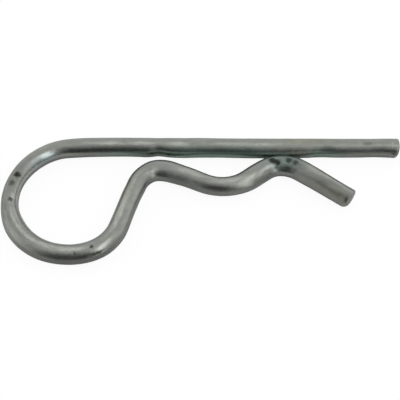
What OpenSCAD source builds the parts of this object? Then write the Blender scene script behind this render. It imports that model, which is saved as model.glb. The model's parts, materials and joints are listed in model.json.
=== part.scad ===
// Hairpin cotter, or R-clip: one length of round wire, bent flat into a finger eye, a straight leg that
// goes through the cross hole of a shaft, and a waved leg that springs over the outside of the shaft.
//
// The clip lies on the plane z = 0, with its straight leg along +X and its box centred on the Z axis.
// Both legs leave the eye from its lowest point, which is the one furthest from the straight leg.

/* [Wire] */
// Diameter of the wire
wire_d = 4; // [3:0.1:4.5]
// Rounding of the edge at the two cut ends
end_round = 0.5; // [0.1:0.05:0.8]

/* [Clip] */
// Overall length, from the outside of the eye to the end of the straight leg
overall_length = 80; // [70:0.5:110]
// Diameter of the shaft that the seat is curved for
shaft_d = 16; // [13:0.5:19]
// How far that shaft pushes the seat away from the straight leg
grip = 0.75; // [0.2:0.05:1.5]

/* [Eye] */
// Inner diameter of the eye
eye_d = 20.4; // [18:0.2:25]
// Inner radius of the bend where the straight leg eases into the eye
ease_r = 28; // [20:0.5:40]
// Angle of that bend
ease_angle = 7; // [3:0.5:10]
// How far past its lowest point the eye stays round, as an angle
eye_past_angle = 26; // [20:0.5:32]
// Inner radius of the heel, where the wire turns up out of the eye towards the straight leg
heel_r = 5.7; // [4.5:0.1:7]

/* [Waved leg] */
// Slope of the neck that climbs from the heel
neck_angle = 71.5; // [66:0.5:76]
// Inner radius of the first crest
throat_r = 3.2; // [2.6:0.1:4.5]
// Gap between the first crest and the straight leg
throat_gap = 1.4; // [0.8:0.1:2]
// Slope down into the seat
seat_in_angle = 22.5; // [20:0.5:26]
// Slope up out of the seat
seat_out_angle = 35.5; // [32:0.5:39]
// Inner radius of the second crest
crest_r = 4; // [3:0.1:5]
// Gap between the second crest and the straight leg
crest_gap = 0.6; // [0.6:0.05:1.5]
// Slope of the tail that leads the shaft in
tail_angle = 35.5; // [28:0.5:42]
// Length of the straight part of the tail
tail_length = 11.5; // [8:0.5:18]

/* [Hidden] */

// Colour of dull zinc on steel
ZINC = [0.56, 0.57, 0.55];
// A millimetre. The wire is formed in metres and scaled up whole, so that its pieces meet exactly.
MM = 0.001;
$fn = 72;

wire_r = wire_d / 2;

// Radii of the wire's centre line
eye = eye_d / 2 + wire_r;
ease = ease_r + wire_r;
heel = heel_r + wire_r;
throat = throat_r + wire_r;
seat = shaft_d / 2 + wire_r;
crest = crest_r + wire_r;

// Height and width that a bend of this radius covers, between two angles turned from the lowest point
function climb(radius, from, to) = radius * (cos(from) - cos(to));
function reach(radius, from, to) = radius * (sin(to) - sin(from));

// Straight wire that an S of two bends needs between them, to climb by rise at this slope.
// Both_r is the sum of their radii.
function s_straight(rise, both_r, slope) = (rise - both_r * (1 - cos(slope))) / sin(slope);

// The eye turns the wire by this much, and the ease bend turns it by the rest of the half turn
eye_angle = 180 - ease_angle;

// Heights above the eye's lowest point
leg_y = climb(eye, 0, eye_angle) + climb(ease, eye_angle, 180);
heel_y = climb(eye, 0, eye_past_angle) - climb(heel, 0, eye_past_angle);
throat_y = leg_y - wire_d - throat_gap;
seat_y = leg_y - seat + grip;
crest_y = leg_y - wire_d - crest_gap;

// The straight leg starts this far to the eye's side of the lowest point
leg_start = reach(eye, 0, eye_angle) + reach(ease, eye_angle, 180);
leg_length = overall_length - wire_r - eye + leg_start;

// Bend tables, which both start at the eye's lowest point. Each row is the straight wire that is fed,
// then the radius and the angle of the bend that follows it. A bend to the left is positive.
EYE = [
    [0, eye, -eye_angle],
    [0, ease, -ease_angle],
];
WAVE = [
    [0, eye, eye_past_angle],
    [0, heel, neck_angle - eye_past_angle],
    [s_straight(throat_y - heel_y, heel + throat, neck_angle), throat, -neck_angle - seat_in_angle],
    [s_straight(throat_y - seat_y, throat + seat, seat_in_angle), seat, seat_in_angle + seat_out_angle],
    [s_straight(crest_y - seat_y, seat + crest, seat_out_angle), crest, -seat_out_angle - tail_angle],
];

// Straight wire along +X
module straight(length) {
    rotate([0, 90, 0]) cylinder(h = length * MM, r = wire_r * MM);
}

// The last of the wire along +X, cut off square and tumbled until its edge is round
module cut_end(length) {
    rotate([0, 90, 0]) rotate_extrude() scale(MM) {
        square([wire_r, length - end_round]);
        square([wire_r - end_round, length]);
        translate([wire_r - end_round, length - end_round]) circle(r = end_round);
    }
}

// Bent wire that starts along +X
module bend(radius, angle) {
    turn = angle > 0 ? 1 : -1;
    translate([0, turn * radius * MM, 0]) rotate([0, 0, angle > 0 ? -90 : 90 + angle])
        rotate_extrude(angle = abs(angle)) translate([radius * MM, 0]) circle(r = wire_r * MM);
}

// Moves its children to the end of such a bend, and turns them along the wire there
module past_bend(radius, angle) {
    turn = angle > 0 ? 1 : -1;
    translate([0, turn * radius * MM, 0]) rotate([0, 0, angle]) translate([0, -turn * radius * MM, 0])
        children();
}

// Wire formed by a bend table from its row i on, and then what its children draw at the end
module formed_wire(table, i = 0) {
    if (i < len(table)) {
        feed = table[i][0];
        radius = table[i][1];
        angle = table[i][2];
        if (feed > 0) straight(feed);
        translate([feed * MM, 0, 0]) {
            bend(radius, angle);
            past_bend(radius, angle) formed_wire(table, i + 1) children();
        }
    } else {
        children();
    }
}

module clip() {
    color(ZINC) translate([eye + wire_r - overall_length / 2, -leg_y / 2, wire_r]) scale(1 / MM) {
        formed_wire(WAVE) cut_end(tail_length);
        rotate([0, 0, 180]) formed_wire(EYE) cut_end(leg_length);
    }
}

clip();
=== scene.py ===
"""A hairpin cotter, or R-clip: one length of zinc-plated spring wire, lying on a pale table.

The wire is a numpy surface: a section carried along the clip's centre line, which a bend table gives.
Its finish is worked out along and around the wire, so the grain of the drawing die follows every bend.
"""
import json
import math

import bpy
import numpy as np
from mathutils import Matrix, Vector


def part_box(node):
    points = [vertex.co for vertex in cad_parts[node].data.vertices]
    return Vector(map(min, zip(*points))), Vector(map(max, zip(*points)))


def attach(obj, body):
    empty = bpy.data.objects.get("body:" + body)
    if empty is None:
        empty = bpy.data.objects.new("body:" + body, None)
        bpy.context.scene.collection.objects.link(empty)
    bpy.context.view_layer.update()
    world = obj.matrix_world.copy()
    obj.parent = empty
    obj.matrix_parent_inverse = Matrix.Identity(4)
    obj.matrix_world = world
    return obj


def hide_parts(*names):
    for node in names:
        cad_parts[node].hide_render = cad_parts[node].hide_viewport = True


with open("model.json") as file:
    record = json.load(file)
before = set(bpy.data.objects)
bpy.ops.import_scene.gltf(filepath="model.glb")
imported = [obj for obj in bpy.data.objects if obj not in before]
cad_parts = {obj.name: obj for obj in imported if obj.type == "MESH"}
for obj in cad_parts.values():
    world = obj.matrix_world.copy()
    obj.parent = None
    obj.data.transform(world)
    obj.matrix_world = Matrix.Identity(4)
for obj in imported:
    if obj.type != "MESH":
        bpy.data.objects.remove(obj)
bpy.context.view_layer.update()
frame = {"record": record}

bl_info = {
    "name": "Hairpin Cotter Clip",
    "version": (1, 0, 0),
    "blender": (4, 5, 0),
    "location": "View3D > Sidebar > Clip",
    "description": "Forms a hairpin cotter from a bend table, plates it and lights it",
    "category": "Add Mesh",
}

MM = 0.001
LEG = next(mount for mount in frame["record"]["mounts"] if mount["name"] == "leg")
LEG_Y, LEG_Z = LEG["pos_m"][1], LEG["pos_m"][2]
WIRE_RADIUS = LEG["dims"]["r_mm"] * MM
CLIP_LOW, CLIP_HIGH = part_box("clip")

# Rings along the wire, points round each ring, and rings that turn the corner of each cut end
RINGS, SIDES, CORNER_RINGS = 1240, 64, 10
# Rings on the face of a cut end, as shares of its radius, and how far the face is domed
FACE_RINGS = (0.8, 0.58, 0.34, 0.12)
FACE_DOME = 0.05 * MM
# Radians round the wire, from its left over its top, to where the corners of the two ends are worn,
# and how narrow that wear is
TIP_WORN_SIDE, TAIL_WORN_SIDE = -0.3, math.pi + 0.3
WEAR_POWER = 3
# Where the rings along the wire stop before a cut, in radii of its worn corner
LAST_RING = 1.02

# Unevenness of the wire's surface: its depth, the seed and number of its waves, and their lengths
DENT_DEPTH = 0.008 * MM
DENT_SEED, DENT_WAVES = 3, 26
LONGEST_DENT, SHORTEST_DENT = 9 * MM, 1.6 * MM
# A pit of full strength is this deep where its smaller half size is this many millimetres. Its depth
# goes in proportion to that size.
PIT_DEPTH, PIT_SIZE = 0.045 * MM, 0.5

# Width of the wire in the clip's plane, in millimetres, at places along it from the straight leg's
# end. The forming tools have thinned it round the eye and spread it at the crests.
WIDTHS = (
    (0, 3.93), (2.5, 3.82), (5, 3.66), (8, 3.74), (12, 3.80), (16, 3.72), (19, 3.92), (34, 3.98),
    (36.5, 3.92), (40, 4.03), (45, 4.08), (47, 3.95), (49, 3.62), (51, 3.95), (53, 3.86), (56, 3.82),
    (62, 3.86), (65, 3.93), (68, 3.76), (72, 3.60), (76, 3.52), (79, 3.38), (84, 3.36), (86, 3.42),
    (88.5, 3.66), (91, 4.04), (94, 4.14), (99, 4.02), (104, 3.88), (112, 4.02), (117, 3.90), (120, 3.82),
    (127, 4.00), (129, 4.08), (132, 4.42), (134, 4.46), (137, 4.12), (141, 3.97), (145, 3.74),
    (148, 3.92), (151, 4.40), (158, 4.30), (163, 4.50), (168, 4.25), (175, 4.10),
)

# How far the wire strays to its left from the bend table's line, in millimetres, at places along it
STRAY = (
    (0, 0.13), (4, 0.03), (8, 0.07), (13, 0.08), (16, 0.02), (19, 0.10), (33, 0.09), (37, 0.02),
    (41, -0.02), (44, 0.04), (46.5, -0.03), (49, -0.17), (51, -0.08), (54, -0.16), (58, -0.18),
    (62, -0.12), (66, -0.02), (70, -0.05), (74, 0), (98, 0), (103, 0.04), (109, -0.05), (113, 0),
    (116, -0.08), (121, 0.02), (123.5, 0.04), (126, -0.07), (128.5, -0.05), (131, 0.04), (133.5, -0.09),
    (136, 0), (138.5, 0.09), (141, 0.01), (146, -0.02), (149, 0.03), (153.5, 0.13), (157, 0.06),
    (160, -0.03), (164, 0.04), (166, 0.06), (171, 0), (176, 0),
)

# Marks on the wire. Each row gives the place along the wire in millimetres, the angle round it in
# degrees from the top towards the left, half the mark's length and width in millimetres, and how
# strong it is.

# Pits and tool marks that hold dirt, and painted shade: the rows from 156.8 to 161.4 mm, on the crest,
# paint the straight leg's shade there and end the crest's highlight, and those at 104.2 and 109.4 mm
# darken the wire's right side where it reflects the dark opening in front. All of them are also pressed in
# as pits.
DIRT_AND_PAINTED_SHADE = (
    (80.0, 9, 0.70, 0.68, 0.95), (82.2, 2, 0.62, 0.62, 0.62), (86.0, 14, 0.50, 0.54, 0.75),
    (108.9, -6, 0.36, 0.40, 0.80), (105.6, -28, 0.36, 0.42, 0.60), (6.7, 6, 1.05, 0.38, 0.33),
    (1.4, 72, 0.60, 0.36, 0.55), (0.6, 84, 0.35, 0.35, 0.55), (0.15, 28, 0.30, 1.10, 0.32),
    (156.8, 11, 0.68, 0.72, 0.95), (157.2, 0, 0.58, 0.60, 0.95), (157.7, -12, 0.68, 0.74, 0.97),
    (160.0, 6, 0.60, 0.64, 0.80), (161.4, 0, 0.54, 0.60, 0.70), (160.0, -46, 1.05, 0.38, 0.75),
    (174.0, -48, 0.30, 0.75, 0.50), (157.3, -33, 0.50, 0.85, 0.60), (175.6, 0, 0.70, 2.20, 0.28),
    (87.2, -20, 1.30, 0.16, 0.35), (109.4, -50, 1.5, 0.30, 0.75), (104.2, -46, 5.2, 0.42, 0.55),
    (133.4, -48, 1.1, 0.50, 0.35), (145.5, -54, 3.2, 0.42, 0.35),
)
# Patches that darken the plating. Most are painted shade: on the crest where the straight leg shades it,
# at the ends of highlights, and in the dark bands where the wire reflects the dark opening in front. The
# patch at 80.5 mm is darker mottling of the plating itself.
DULL_AND_PAINTED_SHADE = (
    (160.1, 8, 3.6, 2.3, 0.70), (170.5, -24, 5.5, 1.0, 0.55), (80.5, 4, 4.5, 0.9, 0.25),
    (5.0, 58, 9, 0.55, 0.55), (152.5, -62, 4.5, 0.7, 0.45), (143.0, -42, 4.0, 0.4, 0.25),
    (87.0, -36, 4.5, 0.30, 0.35), (107.0, -75, 6, 0.60, 0.30), (61.0, 58, 6, 0.60, 0.50),
    (140.0, -75, 7, 0.60, 0.35), (107.8, -50, 2.2, 0.55, 0.85), (155.6, -38, 1.8, 0.55, 0.50),
    (130.2, -32, 0.9, 0.70, 0.55), (160.2, -28, 1.6, 0.50, 0.45), (92.5, -12, 5.0, 0.50, 0.15),
)
# Painted highlights: streaks and spots of painted light along the top of the wire, on the slopes of the
# neck and crests, at the tip and on the eye's blue spot, and on sides that reflect too little light, such
# as the leg's underside over the crest and the eye's inner side
PAINTED_HIGHLIGHTS = (
    (30.5, 8, 8.0, 0.40, 0.60), (44.8, 8, 2.2, 0.42, 0.95), (52.6, 8, 3.0, 0.40, 0.85),
    (60.2, 8, 4.6, 0.40, 0.75), (97.0, 9, 9.5, 0.38, 1.0), (85.3, 24, 1.1, 0.36, 1.0),
    (104.5, 1, 3.6, 0.40, 1.0), (120.0, 10, 7.0, 0.50, 1.0), (111.2, -27, 1.6, 0.45, 0.85),
    (131.2, -30, 1.0, 0.42, 1.00), (138.5, 6, 3.4, 0.60, 0.65), (147.0, 4, 3.4, 0.50, 0.85),
    (150.8, -14, 1.8, 0.40, 0.7), (155.2, -20, 1.6, 0.45, 0.65), (72.3, 36, 2.3, 0.58, 0.75),
    (1.6, 14, 0.25, 0.6, 0.5), (25.0, 90, 4.5, 0.60, 0.80), (46.0, 90, 3.5, 0.55, 0.60),
    (166.5, 26, 6.5, 0.60, 0.60), (82.0, 56, 7.5, 0.75, 0.65), (22.5, 72, 6.0, 1.00, 0.62),
    (46.0, 68, 6.0, 0.75, 0.60), (140.0, 20, 7.0, 0.50, 0.40), (120.0, -38, 6.0, 0.60, 0.40),
    (77.0, 38, 4.0, 0.50, 0.50), (88.5, 28, 4.0, 0.45, 0.50), (57.0, 34, 10, 0.50, 0.30),
    (91.0, -48, 6.0, 0.80, 0.40), (82.5, 45, 8.0, 0.36, 0.85),
)
# Tints. The teal is a painted reflection: on the straight leg's underside it stands for the crest and the
# gap below, reflected there, and lifts their shade; on the crest it goes with the painted shade. The straw
# and blue are tints of the passivation.
PAINTED_TEAL_REFLECTION = (
    (32.5, 76, 7.5, 1.5, 0.70), (42.0, 76, 8.5, 1.5, 0.68), (15.5, 76, 3.5, 1.3, 0.55),
    (55.0, 70, 6.0, 1.3, 0.40), (159.0, 10, 3.4, 2.4, 0.45),
)
STRAW = ((19.5, -14, 4.6, 0.75, 0.85), (172.0, -52, 3.2, 1.3, 0.60), (124.0, 20, 5.0, 1.2, 0.20))
BLUE = ((73.0, 58, 3.6, 1.3, 0.60),)
# Where a mark starts to fade and where it ends, as shares of its half size
MARK_FADE = (0.45, 1.45)

# Patterns of the plating: each gives its scale per millimetre, how much of a distance counts along
# the wire, to its left and upwards, its detail and its roughness. Less along the wire draws it out.
CLOUDS = (0.9, (0.45, 1, 1), 4, 0.6)
STREAKS = (2.4, (0.05, 1, 1), 4, 0.6)
GRAIN = (3.5, (0.5, 1, 1), 3, 0.6)
PATCHES = (1.3, (0.3, 1, 1), 3, 0.6)
# Values of that last pattern between which a patch rises, and how much of a painted shade mark and of a
# painted highlight is left outside the patches
PATCH_RISE = (0.36, 0.62)
DULL_AND_SHADE_LEAST, PAINTED_HIGHLIGHT_LEAST = 0.65, 0.55
# How far the marks' outlines wander, in millimetres, and the scale and detail of that pattern
WANDER, WANDER_SCALE, WANDER_DETAIL = 0.35, 1.6, 2.0
# Brightness of the plating at none and at all of each pattern and mark; the painted highlights brighten it
# and the painted shade darkens it
CLOUD_TONE, STREAK_TONE, GRAIN_TONE = (0.72, 1.28), (0.86, 1.14), (0.90, 1.10)
PAINTED_HIGHLIGHT_TONE, DULL_AND_SHADE_TONE = (1.0, 1.65), (1.0, 0.35)
# Roughness at none and at all of the grain, what dirt and painted shade add and what a painted highlight
# takes away
ROUGHNESS, DIRT_AND_SHADE_ROUGHNESS, PAINTED_HIGHLIGHT_POLISH = (0.24, 0.38), 0.3, 0.06
# How much the clouds and the grain count in the relief, in which the streaks count as one, and its
# strength and height
CLOUD_RELIEF, GRAIN_RELIEF = 1.5, 0.4
RELIEF_STRENGTH, RELIEF_HEIGHT = 0.5, 0.03 * MM

# The light comes from a pale tent of this brightness
TENT = 0.85
# Parts of the tent with a brightness of their own, each laid over those before it: its brightness,
# how far its sides lean left for each degree to the back, and its left, right, front and back edges.
# An edge is a smooth step between two angles in degrees, measured from overhead to the right or back.
TENT_PARTS = (
    (0.54, 0, (-85, -35), (0, 25), (-170, -120), (-50, 5)),
    (0.48, 0, (20, 45), (80, 90), (-170, -120), (-62, -28)),
    (0.016, 0, (-44, -16), (4, 34), (-170, -120), (-66, 14)),
    (2.4, 0.24, (9, 16), (20, 30), (-104, -56), (-14, 14)),
)

# Half the table's width
TABLE_REACH = 3000 * MM
# Places from front to back between which the table passes from in front of the clip to under it
BEHIND = (-18 * MM, -8 * MM)
# Distances from the table's middle between which it comes to glow to the metal, and how much of a
# distance counts along each axis
BEYOND, BEYOND_SHARES = (22 * MM, 60 * MM), (0.45, 1, 1)
# Distances from a point in the eye between which the glow there fades
IN_EYE, EYE_POINT = (1 * MM, 8 * MM), (-28.5 * MM, 1 * MM, 0)
# The table's glow and colour to the camera, then its glow and its front and back colours to the metal; the
# darker front colour is painted shade in front of the clip
SEEN_GLOW, SEEN_COLOUR = 0.93, 0.094
METAL_GLOW, SHADED_FRONT_COLOUR, BACK_COLOUR = 0.35, 0.55, 0.75

# The camera's sensor in millimetres, and the nearest and furthest that it sees
SENSOR_WIDTH = 36
NEAREST, FURTHEST = 10 * MM, 20000 * MM


def millimetres(default, words, name):
    """A length property of the clip, given in millimetres."""
    return bpy.props.FloatProperty(name=name, description=words, default=default * MM,
                                   min=0, unit="LENGTH")


def degrees(default, words, name):
    """An angle property of the clip, given in degrees."""
    return bpy.props.FloatProperty(name=name, description=words, default=math.radians(default),
                                   min=0, max=math.pi * 1.5, subtype="ANGLE")


def colour(default, words, name):
    """A colour property."""
    return bpy.props.FloatVectorProperty(name=name, description=words, default=default, size=3,
                                         min=0, max=1, subtype="COLOR")


class ClipSizes(bpy.types.PropertyGroup):
    """Sizes of the wire's bends, each a radius of its centre line, an angle or a straight length, and
    of its two cut ends."""

    ease_radius: millimetres(30, "Bend where the straight leg eases into the eye", "Ease radius")
    ease_angle: degrees(6.7, "Angle of the ease bend", "Ease angle")
    eye_radius: millimetres(12.2, "Round part of the eye", "Eye radius")
    eye_angle: degrees(199.1, "Angle of the eye's round part", "Eye angle")
    heel_radius: millimetres(7.7, "Bend out of the eye, up towards the straight leg", "Heel radius")
    heel_angle: degrees(45.5, "Angle of the heel", "Heel angle")
    neck_length: millimetres(10.45, "Straight wire that climbs from the heel", "Neck length")
    throat_radius: millimetres(5.2, "First crest", "Throat radius")
    throat_angle: degrees(93.75, "Angle of the first crest", "Throat angle")
    slope_length: millimetres(7, "Straight wire down to the seat", "Slope length")
    seat_radius: millimetres(10, "Seat that lies on the shaft", "Seat radius")
    seat_angle: degrees(58, "Angle of the seat", "Seat angle")
    rise_length: millimetres(3.3, "Straight wire up to the second crest", "Rise length")
    crest_radius: millimetres(6.05, "Second crest", "Crest radius")
    crest_angle: degrees(71.1, "Angle of the second crest", "Crest angle")
    tail_length: millimetres(11.76, "Straight wire of the tail", "Tail length")
    corner: millimetres(0.22, "Rounding of the cut ends' edges", "Corner rounding")
    worn_corner: millimetres(1.05, "Rounding of the cut ends' edges where they have worn", "Worn corner")
    tip_trim: millimetres(0.22, "How far the straight leg was cut short of the overall length", "Tip trim")


class ZincColours(bpy.types.PropertyGroup):
    """Colours of the plating, and of the painted reflection and painted shade laid on it."""

    plate: colour((0.303, 0.3125, 0.2875), "Dull zinc", "Zinc")
    # Painted reflection: the teal laid on the straight leg's underside and on the crest
    reflected_teal: colour((0.285, 0.42, 0.375), "Where the passivation looks green", "Teal tint")
    blue: colour((0.275, 0.3375, 0.35), "Where the passivation looks blue", "Blue tint")
    straw: colour((0.306, 0.3125, 0.25), "Where the passivation looks yellow", "Straw tint")
    # Dirt in pits and tool marks, and the painted shade on the crest and along the wire's right side
    soil_and_shade: colour((0.034, 0.0375, 0.031), "Dirt in pits and tool marks", "Dirt")


class StudioSettings(bpy.types.PropertyGroup):
    """Where the camera stands and looks, and its lens."""

    tilt: degrees(30.9, "Camera's angle off the vertical", "Tilt")
    distance: millimetres(185, "Camera's distance from what it looks at", "Distance")
    aim: bpy.props.FloatVectorProperty(name="Aim", description="Point that the camera looks at",
                                       default=(-0.55 * MM, -0.1 * MM, 2 * MM), size=3,
                                       subtype="TRANSLATION")
    lens: bpy.props.FloatProperty(name="Lens", description="Focal length in millimetres on a 36 mm sensor",
                                  default=84.5, min=20, max=300)


# ---------------------------------------------------------------- the wire's shape


def bend_table(sizes):
    """Rows of straight feed, bend radius and bend angle, from the straight leg's end to the tail.

    A bend to the left is positive, and the tail's row has none. The first feed is what the overall
    length leaves: from the tip back to where the ease bend starts. That is nearer the tip than the eye's
    centre by the difference of the two radii times the sine of the ease bend's angle.
    """
    eye_x = CLIP_LOW.x + WIRE_RADIUS + sizes.eye_radius
    ease_x = eye_x + (sizes.ease_radius - sizes.eye_radius) * math.sin(sizes.ease_angle)
    leg = CLIP_HIGH.x - ease_x
    return (
        (leg, sizes.ease_radius, sizes.ease_angle),
        (0, sizes.eye_radius, sizes.eye_angle),
        (0, sizes.heel_radius, sizes.heel_angle),
        (sizes.neck_length, sizes.throat_radius, -sizes.throat_angle),
        (sizes.slope_length, sizes.seat_radius, sizes.seat_angle),
        (sizes.rise_length, sizes.crest_radius, -sizes.crest_angle),
        (sizes.tail_length, 1, 0),
    )


def centre_line(sizes, rings):
    """Places along the wire, and the centre, forward and sideways directions there.

    The heading is a broken line over the length: level on the straights, and rising or falling at one
    over the radius in the bends. The centre is the running sum of the steps, each taken at the heading
    of its middle. Sideways is to the left of forward, in the clip's plane, and the wire's stray moves
    the centre that way.
    """
    knots, headings = [0.0], [math.pi]
    for feed, radius, angle in bend_table(sizes):
        knots += [knots[-1] + feed, knots[-1] + feed + radius * abs(angle)]
        headings += [headings[-1], headings[-1] + angle]
    along = np.linspace(0, knots[-1], rings)
    heading = np.interp(along, knots, headings)
    middle = np.interp((along[1:] + along[:-1]) / 2, knots, headings)
    steps = np.diff(along)[:, None] * np.stack([np.cos(middle), np.sin(middle)], 1)
    centre = np.zeros((rings, 3))
    centre[0] = CLIP_HIGH.x, LEG_Y, LEG_Z
    centre[1:, :2] = centre[0, :2] + np.cumsum(steps, 0)
    centre[1:, 2] = LEG_Z
    flat = np.zeros(rings)
    forward = np.stack([np.cos(heading), np.sin(heading), flat], 1)
    side = np.stack([-np.sin(heading), np.cos(heading), flat], 1)
    stray = curve_through(STRAY, along)
    return along, centre + stray[:, None] * side, forward, side


def curve_through(points, along):
    """A smooth curve through points of place and value in millimetres, taken at places along the wire.

    Between two points it is a cubic. Its slope at each is the mean of the slopes to the two neighbours,
    in which the nearer one counts for more. Past the last point its value is held.
    """
    place, value = np.array(points, float).T * MM
    slope = np.gradient(value, place)
    k = np.clip(np.searchsorted(place, along) - 1, 0, len(place) - 2)
    gap = place[k + 1] - place[k]
    t = np.clip((along - place[k]) / gap, 0, 1)
    return ((2 * t**3 - 3 * t**2 + 1) * value[k] + (t**3 - 2 * t**2 + t) * gap * slope[k]
            + (3 * t**2 - 2 * t**3) * value[k + 1] + (t**3 - t**2) * gap * slope[k + 1])


def waves(along, turn, seed, count, longest, shortest):
    """Unevenness between about -1 and 1: a sum of cosines of random length, phase and strength.

    Each wave has from none to three crests round the wire, a whole number, so it closes on itself.
    """
    random = np.random.default_rng(seed)
    total = np.zeros(np.broadcast(along, turn).shape)
    for _ in range(count):
        length = longest * (shortest / longest) ** random.random()
        around = random.integers(0, 4)
        phase, swing = random.random(2) * 2 * math.pi
        total += np.cos(2 * math.pi * along / length + around * turn + phase) * np.cos(swing)
    return total / math.sqrt(count)


def on_wire(place, angle):
    """A point of the straight wire in millimetres, along it, to its left and upwards.

    It is given by its place along the wire and its angle from the top towards the left.
    """
    radius = WIRE_RADIUS / MM
    return place, radius * math.sin(math.radians(angle)), radius * math.cos(math.radians(angle))


def pitting(straight):
    """Depth of the pits at points of the straight wire.

    Each is a bell: its full depth over e to the square of the distance from its middle, which is
    counted in its half sizes.
    """
    depth = np.zeros(straight.shape[:-1])
    # Rows of painted shade are pressed in as pits too
    for place, angle, half_length, half_width, strength in DIRT_AND_PAINTED_SHADE:
        size = np.array([half_length, half_width, half_width])
        distance = (straight / MM - np.array(on_wire(place, angle))) / size
        full_depth = PIT_DEPTH * strength * min(half_width, half_length) / PIT_SIZE
        depth += full_depth * np.exp(-(distance**2).sum(-1))
    return depth


def end_cap(sizes, turn, worn_turn):
    """How far each ring of an end lies in from the cut, and its share of the wire's radius.

    The rings follow a quarter circle round the corner, then run in over a face that is a little domed.
    The corner's radius swells from its own size to the worn one round towards the worn side.
    """
    wear = (0.5 + 0.5 * np.cos(turn - worn_turn)) ** WEAR_POWER
    corner = sizes.corner + (sizes.worn_corner - sizes.corner) * wear
    swing = np.linspace(0, math.pi / 2, CORNER_RINGS)[:, None]
    corner_in = corner * (1 - np.sin(swing))
    corner_share = 1 - corner / WIRE_RADIUS * (1 - np.cos(swing))
    face_run = np.array(FACE_RINGS)[:, None]
    face_in = -FACE_DOME * (1 - face_run**2) + 0 * turn
    face_share = corner_share[-1] * face_run
    return np.concatenate([corner_in, face_in]), np.concatenate([corner_share, face_share])


def wire_surface(sizes):
    """Points of the wire as rings, and the place of each in the straight wire: along, left and up.

    A ring is an ellipse: half the local width to the side, and the wire's radius upwards. A slight
    unevenness swells it or presses it in, and the pits press it in. The rings of a cut end are shifted
    along the wire and scaled as the end's corner and face need.
    """
    along, centre, forward, side = centre_line(sizes, RINGS)
    width = curve_through(WIDTHS, along)
    turn = np.linspace(0, 2 * math.pi, SIDES, endpoint=False)
    tip_in, tip_share = end_cap(sizes, turn, TIP_WORN_SIDE)
    tip_in = tip_in + sizes.tip_trim
    tail_in, tail_share = end_cap(sizes, turn, TAIL_WORN_SIDE)

    # Rings that stand closer to the cut than the corner give way to the corner's own
    margin = sizes.worn_corner * LAST_RING
    body = np.flatnonzero((along > margin + sizes.tip_trim) & (along < along[-1] - margin))
    ends = np.zeros(len(tip_in), int)
    ring = np.concatenate([ends, body, ends + RINGS - 1])
    shift = np.concatenate([tip_in[::-1], np.zeros((len(body), SIDES)), -tail_in])
    scale = np.concatenate([tip_share[::-1], np.ones((len(body), SIDES)), tail_share])

    sideways = width[ring][:, None] / 2 * scale * np.cos(turn)
    upwards = WIRE_RADIUS * scale * np.sin(turn)
    straight = np.stack([along[ring][:, None] + shift, sideways, upwards], -1)
    uneven = waves(straight[..., 0], turn, DENT_SEED, DENT_WAVES, LONGEST_DENT, SHORTEST_DENT)
    dents = DENT_DEPTH * uneven - pitting(straight)
    swell = (1 + dents / WIRE_RADIUS)[..., None]
    section = sideways[..., None] * side[ring][:, None] + upwards[..., None] * np.array([0, 0, 1.0])
    points = centre[ring][:, None] + shift[..., None] * forward[ring][:, None] + swell * section
    return points, straight


def closed_tube(name, points, straight):
    """A mesh of four-sided faces between rings of points, with a pole in the middle of each end.

    Each corner of a ring joins the corner after it and the same two of the next ring. At an end they
    join the pole. The faces run so that they point outwards. The attribute wire_mm holds the place of
    each point in the straight wire.
    """
    rings, sides = points.shape[:2]
    poles = np.stack([points[0].mean(0), points[-1].mean(0)])
    straight_poles = np.stack([straight[0].mean(0), straight[-1].mean(0)])
    corner = np.arange(sides)
    after = (corner + 1) % sides
    ring = sides * np.arange(rings)[:, None]
    quads = np.stack([ring[:-1] + corner, ring[:-1] + after, ring[1:] + after, ring[1:] + corner], -1)
    quads = quads.reshape(-1, 4)
    first_pole, last_pole = np.full(sides, rings * sides), np.full(sides, rings * sides + 1)
    fans = np.concatenate([np.stack([first_pole, after, corner], 1),
                           np.stack([last_pole, ring[-1] + corner, ring[-1] + after], 1)])
    mesh = bpy.data.meshes.new(name)
    mesh.from_pydata(np.concatenate([points.reshape(-1, 3), poles]), [], quads.tolist() + fans.tolist())
    wire_mm = np.concatenate([straight.reshape(-1, 3), straight_poles]) / MM
    attribute = mesh.attributes.new("wire_mm", "FLOAT_VECTOR", "POINT")
    attribute.data.foreach_set("vector", wire_mm.astype(np.float32).ravel())
    mesh.shade_smooth()
    mesh.update()
    piece = bpy.data.objects.new(name, mesh)
    bpy.context.scene.collection.objects.link(piece)
    return piece


# ---------------------------------------------------------------- node helpers


def add(tree, kind, *links, **values):
    """A node of that kind. Links go to its inputs in order, and values to its settings or inputs."""
    node = tree.nodes.new(kind)
    for name, value in values.items():
        if hasattr(node, name):
            setattr(node, name, value)
    for name, value in values.items():
        if not hasattr(node, name):
            node.inputs[name.replace("_", " ")].default_value = value
    for socket, source in zip(node.inputs, links):
        if source is not None:
            tree.links.new(source, socket)
    return node


def maths(tree, operation, first, second=None):
    """The result of a Math node on two sockets or numbers."""
    node = tree.nodes.new("ShaderNodeMath")
    node.operation = operation
    for socket, source in zip(node.inputs, (first, second)):
        if source is None:
            continue
        if isinstance(source, (int, float)):
            socket.default_value = source
        else:
            tree.links.new(source, socket)
    return node.outputs[0]


def blend(tree, factor, first, second, mode="MIX"):
    """The result of a colour Mix node. A colour may be a socket or three numbers."""
    node = tree.nodes.new("ShaderNodeMix")
    node.data_type = "RGBA"
    node.blend_type = mode
    sockets = [s for s in node.inputs if s.enabled]
    for socket, source in zip(sockets, (factor, first, second)):
        if isinstance(source, (int, float)):
            socket.default_value = source
        elif isinstance(source, bpy.types.NodeSocket):
            tree.links.new(source, socket)
        else:
            socket.default_value = (*source, 1)
    return next(s for s in node.outputs if s.enabled)


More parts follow.
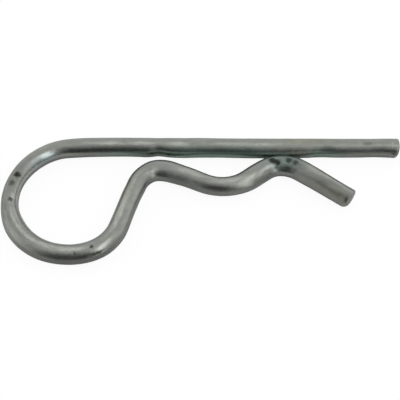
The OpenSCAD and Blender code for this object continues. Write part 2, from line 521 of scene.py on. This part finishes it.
def span(tree, value, low, high, to_low=0.0, to_high=1.0):
    """A value taken from one range to another by a smooth step, and held at its ends."""
    node = tree.nodes.new("ShaderNodeMapRange")
    node.interpolation_type = "SMOOTHSTEP"
    tree.links.new(value, node.inputs[0])
    for k, number in enumerate((low, high, to_low, to_high)):
        node.inputs[k + 1].default_value = number
    return node.outputs[0]


def noise(tree, vector, scale, shares, detail, rough):
    """A noise value over a vector, of which only the given share counts along each axis."""
    counted = add(tree, "ShaderNodeMapping", vector, Scale=shares).outputs[0]
    node = add(tree, "ShaderNodeTexNoise", counted, Scale=scale, Detail=detail, Roughness=rough)
    return node.outputs[0]


# ---------------------------------------------------------------- materials


def new_material(name):
    """A material with nothing but its output, its node tree and the output's surface socket."""
    material = bpy.data.materials.new(name)
    material.use_nodes = True
    tree = material.node_tree
    tree.nodes.clear()
    return material, tree, tree.nodes.new("ShaderNodeOutputMaterial").inputs["Surface"]


def mark_group():
    """A node group that gives one in the middle of a mark and fades smoothly to zero round it.

    It works on the length of the offset from the mark's middle, divided by the mark's half size.
    """
    tree = bpy.data.node_groups.new("mark", "ShaderNodeTree")
    for name in ("Place", "Middle", "Half Size"):
        tree.interface.new_socket(name, in_out="INPUT", socket_type="NodeSocketVector")
    tree.interface.new_socket("Amount", in_out="OUTPUT", socket_type="NodeSocketFloat")
    place, middle, size = tree.nodes.new("NodeGroupInput").outputs[:3]
    offset = add(tree, "ShaderNodeVectorMath", place, middle, operation="SUBTRACT").outputs[0]
    offset = add(tree, "ShaderNodeVectorMath", offset, size, operation="DIVIDE").outputs[0]
    distance = add(tree, "ShaderNodeVectorMath", offset, operation="LENGTH").outputs["Value"]
    amount = span(tree, distance, *MARK_FADE, 1, 0)
    tree.links.new(amount, tree.nodes.new("NodeGroupOutput").inputs[0])
    return tree


def marked(tree, group, place, rows):
    """The strongest of the marks in a table, at each point."""
    amount = None
    for along, angle, half_length, half_width, strength in rows:
        node = tree.nodes.new("ShaderNodeGroup")
        node.node_tree = group
        tree.links.new(place, node.inputs["Place"])
        node.inputs["Middle"].default_value = on_wire(along, angle)
        node.inputs["Half Size"].default_value = half_length, half_width, half_width
        own = maths(tree, "MULTIPLY", node.outputs[0], strength)
        amount = own if amount is None else maths(tree, "MAXIMUM", amount, own)
    return amount


def level(tree, value, low, high):
    """A value between zero and one taken to a range in a straight line."""
    return maths(tree, "ADD", maths(tree, "MULTIPLY", value, high - low), low)


def zinc_plate(colours):
    """Dull zinc on drawn wire: clouds, die lines along it and a fine grain, under marks and dirt.

    The patterns, the painted shade and the painted highlights multiply the colour. The tints replace it;
    the teal among them is a painted reflection. The dirt, with the painted shade on the crest and the
    wire's right side, covers it.
    """
    material, tree, surface = new_material("zinc_plate")
    shader = tree.nodes.new("ShaderNodeBsdfPrincipled")
    tree.links.new(shader.outputs[0], surface)
    straight = add(tree, "ShaderNodeAttribute", attribute_name="wire_mm").outputs["Vector"]
    wander = add(tree, "ShaderNodeTexNoise", straight, Scale=WANDER_SCALE, Detail=WANDER_DETAIL)
    wander = add(tree, "ShaderNodeVectorMath", wander.outputs["Color"], operation="MULTIPLY_ADD")
    wander.inputs[1].default_value = (2 * WANDER,) * 3
    wander.inputs[2].default_value = (-WANDER,) * 3
    place = add(tree, "ShaderNodeVectorMath", straight, wander.outputs[0], operation="ADD").outputs[0]

    clouds = noise(tree, straight, *CLOUDS)
    streaks = noise(tree, straight, *STREAKS)
    grain = noise(tree, straight, *GRAIN)
    patches = span(tree, noise(tree, straight, *PATCHES), *PATCH_RISE)

    group = mark_group()
    # Dirt in pits and tool marks, and painted shade on the crest and along the wire's right side
    dirt_and_shade = marked(tree, group, place, DIRT_AND_PAINTED_SHADE)
    # Painted shade, and a little dull mottling of the plating
    dull_and_shade = marked(tree, group, place, DULL_AND_PAINTED_SHADE)
    dull_and_shade = maths(tree, "MULTIPLY", dull_and_shade, level(tree, patches, DULL_AND_SHADE_LEAST, 1.0))
    # Painted highlights and painted reflected light
    bright = marked(tree, group, place, PAINTED_HIGHLIGHTS)
    bright = maths(tree, "MULTIPLY", bright, level(tree, patches, PAINTED_HIGHLIGHT_LEAST, 1.0))

    # Painted reflection: the teal on the leg's underside and the crest
    base = blend(tree, marked(tree, group, straight, PAINTED_TEAL_REFLECTION), colours.plate, colours.reflected_teal)
    base = blend(tree, marked(tree, group, straight, STRAW), base, colours.straw)
    base = blend(tree, marked(tree, group, straight, BLUE), base, colours.blue)
    tone = level(tree, clouds, *CLOUD_TONE)
    for value, tones in ((streaks, STREAK_TONE), (grain, GRAIN_TONE),
                         (bright, PAINTED_HIGHLIGHT_TONE), (dull_and_shade, DULL_AND_SHADE_TONE)):
        tone = maths(tree, "MULTIPLY", tone, level(tree, value, *tones))
    base = blend(tree, 1.0, base, tone, "MULTIPLY")
    # The dirt and the painted shade cover the colour
    base = blend(tree, dirt_and_shade, base, colours.soil_and_shade)
    tree.links.new(base, shader.inputs["Base Color"])

    rough = level(tree, grain, *ROUGHNESS)
    rough = maths(tree, "ADD", rough, maths(tree, "MULTIPLY", dirt_and_shade, DIRT_AND_SHADE_ROUGHNESS))
    rough = maths(tree, "SUBTRACT", rough, maths(tree, "MULTIPLY", bright, PAINTED_HIGHLIGHT_POLISH))
    tree.links.new(rough, shader.inputs["Roughness"])
    shader.inputs["Metallic"].default_value = 1.0
    height = maths(tree, "ADD", streaks, maths(tree, "MULTIPLY", clouds, CLOUD_RELIEF))
    height = maths(tree, "ADD", height, maths(tree, "MULTIPLY", grain, GRAIN_RELIEF))
    bump = add(tree, "ShaderNodeBump", Strength=RELIEF_STRENGTH, Distance=RELIEF_HEIGHT)
    tree.links.new(height, bump.inputs["Height"])
    tree.links.new(bump.outputs[0], shader.inputs["Normal"])
    return material


def table_paint():
    """Pale matt paint that glows: to the camera all over, to the metal beyond the clip and in its eye.

    The matt part takes the clip's shadow. Its colour and the glow depend on the place on the table, by
    smooth steps of depth and of distance, and on whether the camera looks at it. To the metal the table is
    darker in front of the clip, as painted shade.
    """
    material, tree, surface = new_material("table_top")
    rays = tree.nodes.new("ShaderNodeLightPath").outputs
    place = tree.nodes.new("ShaderNodeTexCoord").outputs["Object"]
    behind = span(tree, add(tree, "ShaderNodeSeparateXYZ", place).outputs[1], *BEHIND)
    beyond = add(tree, "ShaderNodeVectorMath", place, operation="MULTIPLY")
    beyond.inputs[1].default_value = BEYOND_SHARES
    beyond = add(tree, "ShaderNodeVectorMath", beyond.outputs[0], operation="LENGTH").outputs["Value"]
    beyond = maths(tree, "MULTIPLY", span(tree, beyond, *BEYOND), behind)
    in_eye = add(tree, "ShaderNodeVectorMath", place, operation="DISTANCE")
    in_eye.inputs[1].default_value = EYE_POINT
    in_eye = span(tree, in_eye.outputs["Value"], *IN_EYE, 1, 0)
    glow = maths(tree, "MULTIPLY", maths(tree, "ADD", beyond, in_eye), METAL_GLOW)
    glow = blend(tree, rays["Is Camera Ray"], glow, (SEEN_GLOW,) * 3)
    emission = add(tree, "ShaderNodeEmission")
    tree.links.new(glow, emission.inputs["Color"])
    # Painted shade: to the metal the table is darker in front of the clip than under and behind it
    shade = blend(tree, behind, (SHADED_FRONT_COLOUR,) * 3, (BACK_COLOUR,) * 3)
    shade = blend(tree, rays["Is Camera Ray"], shade, (SEEN_COLOUR,) * 3)
    matt = add(tree, "ShaderNodeBsdfDiffuse")
    tree.links.new(shade, matt.inputs["Color"])
    both = add(tree, "ShaderNodeAddShader", emission.outputs[0], matt.outputs[0])
    tree.links.new(both.outputs[0], surface)
    return material


# ---------------------------------------------------------------- the stage


def sky(context):
    """A pale tent round the clip, with shade and a dark opening in front, and a bright lamp on the right.

    A part of the tent is the product of four smooth steps of direction, one for each of its edges. To
    the camera itself the tent is plain white.
    """
    world = bpy.data.worlds.new("studio")
    context.scene.world = world
    world.use_nodes = True
    tree = world.node_tree
    tree.nodes.clear()
    direction = tree.nodes.new("ShaderNodeTexCoord").outputs["Generated"]
    x, y, z = add(tree, "ShaderNodeSeparateXYZ", direction).outputs
    to_back = maths(tree, "ARCTAN2", y, z)
    to_right = maths(tree, "ARCSINE", x)

    light = (TENT,) * 3
    for brightness, lean, left, right, front, back in TENT_PARTS:
        leaning = maths(tree, "ADD", to_right, maths(tree, "MULTIPLY", to_back, lean))
        inside = 1.0
        for angle, rise, fall in ((leaning, left, right), (to_back, front, back)):
            inside = maths(tree, "MULTIPLY", inside, span(tree, angle, *map(math.radians, rise)))
            inside = maths(tree, "MULTIPLY", inside, span(tree, angle, *map(math.radians, fall), 1, 0))
        light = blend(tree, inside, light, (brightness,) * 3)
    rays = tree.nodes.new("ShaderNodeLightPath").outputs
    seen = blend(tree, rays["Is Camera Ray"], light, (1, 1, 1))
    background = add(tree, "ShaderNodeBackground", seen)
    output = tree.nodes.new("ShaderNodeOutputWorld")
    tree.links.new(background.outputs[0], output.inputs[0])


def table_top(context):
    """A square table, level with the wire's underside, that is part of the stage."""
    near, far = -TABLE_REACH, TABLE_REACH
    mesh = bpy.data.meshes.new("table")
    corners = [(near, near, 0), (far, near, 0), (far, far, 0), (near, far, 0)]
    mesh.from_pydata(corners, [], [(0, 1, 2, 3)])
    mesh.materials.append(table_paint())
    table = bpy.data.objects.new("table", mesh)
    context.scene.collection.objects.link(table)


def camera(context, studio):
    """A camera in front of the clip, tilted off the vertical, that looks at the point it is given."""
    data = bpy.data.cameras.new("camera")
    data.lens = studio.lens
    data.sensor_width = SENSOR_WIDTH
    data.clip_start, data.clip_end = NEAREST, FURTHEST
    piece = bpy.data.objects.new("camera", data)
    back = np.array([0, -math.sin(studio.tilt), math.cos(studio.tilt)])
    piece.location = np.array(studio.aim) + studio.distance * back
    piece.rotation_euler = (studio.tilt, 0, 0)
    context.scene.collection.objects.link(piece)
    context.scene.camera = piece


# ---------------------------------------------------------------- operators and panel


class CLIP_OT_form_wire(bpy.types.Operator):
    """Forms the clip from one length of wire and plates it"""

    bl_idname = "clip.form_wire"
    bl_label = "Form the wire"

    def execute(self, context):
        scene = context.scene
        piece = closed_tube("clip_wire", *wire_surface(scene.clip_sizes))
        piece.data.materials.append(zinc_plate(scene.clip_colours))
        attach(piece, "root")
        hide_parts("clip")
        return {"FINISHED"}


class CLIP_OT_set_stage(bpy.types.Operator):
    """Sets the table, the light and the camera"""

    bl_idname = "clip.set_stage"
    bl_label = "Set the stage"

    def execute(self, context):
        sky(context)
        table_top(context)
        camera(context, context.scene.clip_studio)
        context.scene.view_settings.view_transform = "Standard"
        return {"FINISHED"}


class CLIP_PT_clip(bpy.types.Panel):
    """Lists the steps that make the clip, its sizes and colours, and the camera's settings"""

    bl_label = "Hairpin cotter"
    bl_idname = "CLIP_PT_clip"
    bl_space_type = "VIEW_3D"
    bl_region_type = "UI"
    bl_category = "Clip"

    def draw(self, context):
        column = self.layout.column()
        for operator in OPERATORS:
            column.operator(operator.bl_idname)
        for group in (context.scene.clip_sizes, context.scene.clip_colours, context.scene.clip_studio):
            for name in group.bl_rna.properties.keys():
                if name not in {"rna_type", "name"}:
                    column.prop(group, name)


OPERATORS = (CLIP_OT_form_wire, CLIP_OT_set_stage)
GROUPS = {"clip_sizes": ClipSizes, "clip_colours": ZincColours, "clip_studio": StudioSettings}


def register():
    """Registers the classes and hangs the property groups on the scene."""
    for group in (*GROUPS.values(), *OPERATORS, CLIP_PT_clip):
        bpy.utils.register_class(group)
    for name, group in GROUPS.items():
        setattr(bpy.types.Scene, name, bpy.props.PointerProperty(type=group))


def unregister():
    """Undoes register."""
    for name in GROUPS:
        delattr(bpy.types.Scene, name)
    for group in reversed((*GROUPS.values(), *OPERATORS, CLIP_PT_clip)):
        bpy.utils.unregister_class(group)


def main():
    """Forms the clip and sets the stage."""
    register()
    bpy.ops.clip.form_wire()
    bpy.ops.clip.set_stage()


if __name__ == "__main__":
    main()
